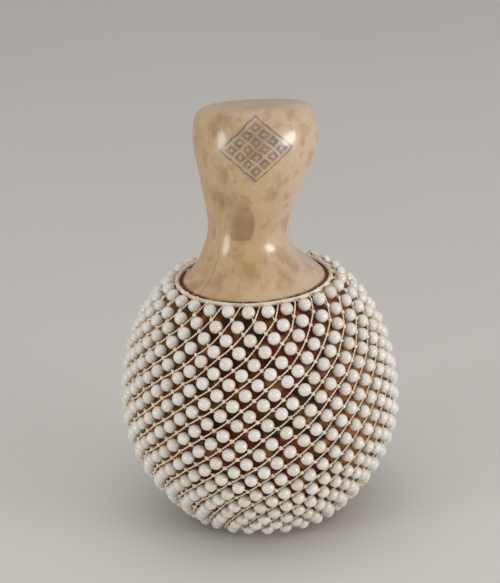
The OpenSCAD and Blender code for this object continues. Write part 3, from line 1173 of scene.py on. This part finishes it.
@dataclass
class BeadNet:
    """The net: beads, knots and legs, one piece of each for every band of rows."""

    plan: NetPlan
    beads_finish: bpy.types.Material
    twine_finish: bpy.types.Material
    hole_d: float = 1.5
    lip: float = 0.35
    lip_in: float = 0.1
    lip_drop: float = 0.02
    handled: float = 1.3
    bead_sides: int = 22
    bead_rings: int = 11
    # Shares of a bead's even size.
    size_spread: float = 0.012
    smallest: float = 0.97
    largest: float = 1.02
    flattest: float = 0.97
    # The two numbers of the beta curve that the beads' tones follow, more of them pale than dark.
    tone_curve: tuple[float, float] = (1.6, 2.6)
    ply_lift: float = 0.29
    ply_r: float = 0.26
    ply_pitch: float = 4.0
    ply_sides: int = 6
    beaded_steps: int = 9
    bare_steps: int = 13
    slack: float = 0.35
    slack_out: float = 0.5  # share of the slack
    bent_from: float = 0.7  # share of the leg
    knot_r: float = 1.4
    knot_ply_r: float = 0.46
    knot_depth: float = 0.55  # share of the knot's radius
    knot_steps: int = 30
    hitch_r: float = 0.28
    hitch_lift: float = 0.35  # share of hitch_r
    hitch_turns: float = 1.5
    hitch_width: float = 1.5
    hitch_steps: int = 22
    ends_apart: float = 2.1  # in radii of the twine
    seed: int = 23
    knot_seed: int = 500

    @cached_property
    def bead_form(self) -> tuple[Array, Array, Array]:
        """One bead about the origin, with its hole along Z and the hole's lips rounded.

        Returns:
            Its points, how near each is to the hole, from 0 to 1, and its faces.
        """
        ball, hole = self.plan.bead_d / 2, self.hole_d / 2
        start = math.asin((hole + self.lip) / ball)
        polar = np.linspace(math.pi - start, start, self.bead_rings)
        outside = np.stack([ball * np.sin(polar), ball * np.cos(polar)], axis=1)
        top = outside[-1, 1]
        lip = np.array([(hole + self.lip_in, top - self.lip_drop), (hole, top - self.lip)])
        profile = np.concatenate([outside, lip, lip[::-1] * np.array([1.0, -1.0])])
        near = np.clip(1 - (profile[:, 0] - hole) / self.handled, 0.0, 1.0)
        turn = math.tau * np.arange(self.bead_sides) / self.bead_sides
        form = np.stack([profile[:, :1] * np.cos(turn), profile[:, :1] * np.sin(turn),
                         np.repeat(profile[:, 1:], self.bead_sides, axis=1)], axis=-1)
        faces = grid_faces(len(profile), self.bead_sides, closed=True)
        return form.reshape(-1, 3), np.repeat(near, self.bead_sides), faces

    def beads(self, band: int) -> None:
        """Makes, dresses and places the beads of a band.

        Args:
            band: The band, counted from 1 at the collar.
        """
        form, near, faces = self.bead_form
        x, y, z = (form[None, :, i : i + 1] for i in range(3))
        count = self.plan.strands
        random = np.random.default_rng([self.seed, band])
        parts = MeshParts()
        for row in self.plan.band_rows(band):
            knot, held = self.plan.knots[row], self.plan.held_by(row, Leg.BEADED)
            axis = unit(held - knot)
            across = unit(np.cross(axis, self.plan.out_at(row)))
            out = np.cross(across, axis)
            size = random.normal(1.0, self.size_spread, (count, 1, 1))
            size = np.clip(size, self.smallest, self.largest)
            flat = random.uniform(self.flattest, 1.0, (count, 1, 1))
            holder_r = (self.plan.collar_cord_d if row == 1 else self.plan.knot_d) / 2
            spot = self.plan.bead_middle(knot, held, holder_r)[:, None, :]
            turned = x * out[:, None, :] + y * across[:, None, :] + flat * z * axis[:, None, :]
            tone = np.repeat(random.beta(*self.tone_curve, count), len(form))
            copies = (np.arange(count)[:, None, None] * len(form) + faces).reshape(-1, 4)
            parts.add((spot + size * turned).reshape(-1, 3), [copies], tone=tone, rim=np.tile(near, count))
        made = parts.build(f"beads_{band:02d}", [self.beads_finish])
        place_piece(made, Body.NET, Slot.BEADS, f"bead_band_{band:02d}")

    def legs(self, row: int, leg: Leg) -> tuple[Array, Array]:
        """Draws the paths of one kind of leg.

        Args:
            row: The row that hangs on them.
            leg: Which of the two legs.

        Returns:
            The paths as [strand, point, xyz], and a direction across each.
        """
        knot, held = self.plan.knots[row], self.plan.held_by(row, leg)
        out = self.plan.out_at(row)[:, None, :]
        steps = self.bare_steps if leg is Leg.BARE else self.beaded_steps
        t = np.linspace(0.0, 1.0, steps)[None, :, None]
        paths = knot[:, None, :] + t * (held - knot)[:, None, :]
        if leg is Leg.BARE:
            paths = paths + 4 * t * (1 - t) * self.slack * (self.slack_out * out - UP)
        if row == 1:
            narrow, lower = self.plan.collar_drawn / self.plan.collar_at
            drawn = held * np.array([narrow, narrow, lower])
            paths = paths + smooth_step(t, self.bent_from, 1.0) * (drawn - held)[:, None, :]
        return paths, out

    def add_plies(self, parts: MeshParts, paths: Array, out: Array) -> None:
        """Adds two plies twisted round some paths.

        Args:
            parts: What they are added to.
            paths: Points as [path, point, xyz].
            out: A direction across the paths.
        """
        length = np.linalg.norm(paths[:, -1] - paths[:, 0], axis=-1).mean()
        for phase in (0.0, math.pi):
            ply = twist(paths, out, self.ply_lift, length / self.ply_pitch, phase)
            sweep(parts, ply, out, self.ply_r, self.ply_sides)

    def add_knots(self, parts: MeshParts, row: int) -> None:
        """Adds an overhand knot, pulled tight, at every strand of a row.

        Args:
            parts: What they are added to.
            row: The row.
        """
        random = np.random.default_rng([self.seed, self.knot_seed + row])
        spots, out = self.plan.knots[row][:, None, :], self.plan.out_at(row)[:, None, :]
        around = unit(np.cross(UP, out))
        up = np.cross(out, around)
        t = np.linspace(0.0, math.tau, self.knot_steps, endpoint=False)
        x, y = (np.sin(t) + 2 * np.sin(2 * t)) / 3, (np.cos(t) - 2 * np.cos(2 * t)) / 3
        spin = random.uniform(0.0, math.tau, (self.plan.strands, 1))
        size = self.knot_r - self.knot_ply_r
        aside = size * (x * np.cos(spin) - y * np.sin(spin))[..., None]
        above = size * (x * np.sin(spin) + y * np.cos(spin))[..., None]
        lift = -self.knot_depth * size * np.sin(3 * t)[None, :, None]
        paths = spots + aside * around + above * up + lift * out
        sweep(parts, paths, out, self.knot_ply_r, self.ply_sides, closed=True)

    def add_hitches(self, parts: MeshParts, ring: Array, cord_d: float, turns: Array) -> None:
        """Adds the turns of twine that tie strands to a ring cord.

        Args:
            parts: What they are added to.
            ring: Radius and height of the ring's centre line.
            cord_d: The ring cord's diameter.
            turns: The angles of the strands, in radians from the front.
        """
        radial, around = (way[:, None, :] for way in spokes(turns))
        t = np.linspace(0.0, 1.0, self.hitch_steps)[None, :, None]
        swing = math.tau * self.hitch_turns * t - math.pi / 2
        lift = cord_d / 2 + self.hitch_lift * self.hitch_r
        wound = lift * (np.cos(swing) * radial + np.sin(swing) * UP) + (t - 0.5) * self.hitch_width * around
        sweep(parts, ring[0] * radial + ring[1] * UP + wound, around, self.hitch_r, self.ply_sides)

    def strand_turns(self, row: int) -> Array:
        """The angles of a row's strands, in radians from the front."""
        knots = self.plan.knots[row]
        return np.arctan2(knots[:, 0], -knots[:, 1])

    def cords(self, band: int) -> None:
        """Makes, dresses and places the knots and legs of a band.

        Args:
            band: The band, counted from 1 at the collar.
        """
        parts = MeshParts()
        for row in self.plan.band_rows(band):
            for leg in Leg:
                self.add_plies(parts, *self.legs(row, leg))
            self.add_knots(parts, row)
        if band == 1:
            self.add_hitches(parts, self.plan.collar_drawn, self.plan.collar_cord_d, self.strand_turns(0))
        made = parts.build(f"knotted_twine_{band:02d}", [self.twine_finish])
        place_piece(made, Body.NET, Slot.NET_CORD, f"cord_band_{band:02d}")

    def gathered_ends(self) -> None:
        """Makes, dresses and places the pairs of ends that run from the last row to the base ring."""
        last = self.plan.rows
        knot, out = self.plan.knots[last][:, None, :], self.plan.out_at(last)[:, None, :]
        turns = self.strand_turns(last)
        radial, around = (way[:, None, :] for way in spokes(turns))
        ring = self.plan.ring_at[0] * radial + self.plan.ring_at[1] * UP
        t = np.linspace(0.0, 1.0, self.bare_steps)[None, :, None]
        parts = MeshParts()
        for side in (-0.5, 0.5):
            apart = side * self.ends_apart * (self.ply_lift + self.ply_r) * around
            self.add_plies(parts, knot + t * (ring - knot) + apart, out)
        self.add_hitches(parts, self.plan.ring_at, self.plan.ring_cord_d, turns)
        made = parts.build("gathered_ends", [self.twine_finish])
        place_piece(made, Body.NET, Slot.NET_CORD, "gather_cords")


@dataclass
class RingCord:
    """A cord closed to a ring: a round core under many fine plies laid round it."""

    name: str
    node: str
    slot: Slot
    at: Array
    cord_d: float
    plies: int
    lay_length: float
    finish: bpy.types.Material
    ply_room: float = 0.95
    droop: float = 0.2
    rings: int = 420
    sides: int = 8

    def build(self) -> None:
        """Makes, dresses and places the cord."""
        turn = math.tau * np.arange(self.rings) / self.rings
        out = spokes(turn)[0][None, :, :]
        slow, quick, start = 3, 5, 0.7
        sway = self.droop * np.sin(slow * turn + start) * np.sin(quick * turn)
        path = self.at[0] * out + (self.at[1] + sway)[None, :, None] * UP
        ply_r = self.ply_room * math.pi * self.cord_d / 2 / (self.plies + math.pi)
        lift = self.cord_d / 2 - ply_r
        parts = MeshParts()
        sweep(parts, path, out, lift, 2 * self.sides, closed=True)
        lays = round(math.tau * self.at[0] / self.lay_length)
        for ply in range(self.plies):
            wound = twist(path, out, lift, lays, math.tau * ply / self.plies, closed=True)
            sweep(parts, wound, out, ply_r, self.sides, closed=True)
        place_piece(parts.build(self.name, [self.finish]), Body.NET, self.slot, self.node)


@dataclass(frozen=True)
class Lamp:
    """A soft, white, oval lamp, aimed at the rattle."""

    name: str
    azimuth: float
    elevation: float
    distance: float
    width: float
    height: float
    power: float


@dataclass
class Studio:
    """The pale floor, the soft lamps and the camera at the photograph's angle."""

    aim: tuple[float, float, float] = (0.0, 0.0, 78.5)
    aim_pixel: tuple[float, float] = (260.0, 392.0)
    elevation: float = 23.5
    distance: float = 1500.0
    pixel: float = 0.625  # millimetres that a pixel shows at the aim
    roll: float = 3.0
    sensor: float = 36.0
    nearest: float = 50.0
    farthest: float = 50000.0
    floor_size: float = 12000.0
    floor_tiles: int = 8
    sky: str = "#F2F1EF"
    sky_strength: float = 0.5
    lamps: tuple[Lamp, ...] = (
        Lamp("lamp_right", 59.0, 8.0, 1300.0, 780.0, 250.0, 8.2),
        Lamp("lamp_left", -60.0, 8.0, 1300.0, 460.0, 480.0, 4.8),
        Lamp("lamp_top", 0.0, 84.0, 2000.0, 2200.0, 2200.0, 12.0),
    )

    def build(self) -> None:
        """Sets up the whole studio."""
        scene = bpy.context.scene
        scene.view_settings.view_transform = "Standard"
        self.floor()
        self.light()
        scene.camera = self.camera()

    def floor(self) -> None:
        """Lays the floor."""
        row = self.floor_tiles + 1
        steps = np.linspace(-self.floor_size / 2, self.floor_size / 2, row)
        x, y = np.meshgrid(steps, steps)
        points = np.stack([x.ravel(), y.ravel(), np.zeros(x.size)], axis=1)
        tile = np.arange(self.floor_tiles)
        corner = (tile[:, None] * row + tile).ravel()
        parts = MeshParts()
        parts.add(points, [np.stack([corner, corner + 1, corner + row + 1, corner + row], axis=1)])
        parts.build("studio_floor", [PaleFloor().material()])

    def light(self) -> None:
        """Hangs the lamps and sets the even light round them."""
        for lamp in self.lamps:
            light = bpy.data.lights.new(lamp.name, "AREA")
            light.shape, light.size, light.size_y = "ELLIPSE", lamp.width * MM, lamp.height * MM
            light.energy = lamp.power
            made = bpy.data.objects.new(lamp.name, light)
            side, lift = math.radians(lamp.azimuth), math.radians(lamp.elevation)
            level = math.cos(lift)
            way = Vector((math.sin(side) * level, -math.cos(side) * level, math.sin(lift)))
            made.location = Vector(self.aim) * MM + way * lamp.distance * MM
            made.rotation_euler = way.to_track_quat("Z", "Y").to_euler()
            bpy.context.scene.collection.objects.link(made)
        world = bpy.data.worlds.new("studio_air")
        world.use_nodes = True
        world.node_tree.nodes.clear()
        air = put(world.node_tree, "Background", {0: linear(self.sky), 1: self.sky_strength})
        put(world.node_tree, "OutputWorld", {0: air})
        bpy.context.scene.world = world

    def camera(self) -> bpy.types.Object:
        """Makes the camera, with the aim at its pixel of the photograph.

        Returns:
            The camera's object.
        """
        lift, roll = math.radians(self.elevation), math.radians(self.roll)
        toward = Vector((0.0, -math.cos(lift), math.sin(lift))) * self.distance
        level, steep = Vector((1.0, 0.0, 0.0)), Vector((0.0, math.sin(lift), math.cos(lift)))
        right = level * math.cos(roll) - steep * math.sin(roll)
        up = level * math.sin(roll) + steep * math.cos(roll)
        aside = PHOTO_SIZE[0] / 2 - self.aim_pixel[0]
        above = self.aim_pixel[1] - PHOTO_SIZE[1] / 2
        back = (toward - (right * aside + up * above) * self.pixel).normalized()
        right = (right - back * right.dot(back)).normalized()
        up = back.cross(right)
        lens = bpy.data.cameras.new("photograph_camera")
        lens.sensor_width = self.sensor
        lens.lens = self.sensor * self.distance / self.pixel / max(PHOTO_SIZE)
        lens.clip_start, lens.clip_end = self.nearest * MM, self.farthest * MM
        lens.dof.use_dof = False
        made = bpy.data.objects.new("photograph_camera", lens)
        turned = Matrix((right, up, back)).transposed().to_4x4()
        made.matrix_world = Matrix.Translation((toward + Vector(self.aim)) * MM) @ turned
        bpy.context.scene.collection.objects.link(made)
        return made


def main() -> None:
    """Builds the rattle's pieces and the studio."""
    logging.basicConfig(level=logging.INFO, format="%(name)s: %(message)s")
    outline = GourdOutline()
    plan = NetPlan(outline)
    log.info("net of %d rows and %d strands", plan.rows, plan.strands)
    twine = SpunCotton("cotton_twine_plied", pale="#F6EAD6", dark="#DFC7A4").material()
    cord = SpunCotton("cotton_cord_laid", pale="#F5EEDF", dark="#DCCCAE").material()
    Gourd(outline).build()
    net = BeadNet(plan, MouldedBead().material(), twine)
    for band in range(1, plan.bands + 1):
        net.beads(band)
        net.cords(band)
    net.gathered_ends()
    RingCord("collar_rope", "collar_cord", Slot.COLLAR, plan.collar_drawn, plan.collar_cord_d,
             plies=9, lay_length=14.0, finish=cord).build()
    RingCord("base_rope", "base_ring_cord", Slot.NET_CORD, plan.ring_at, plan.ring_cord_d,
             plies=6, lay_length=9.0, finish=twine).build()
    Studio().build()


if __name__ == "__main__":
    main()
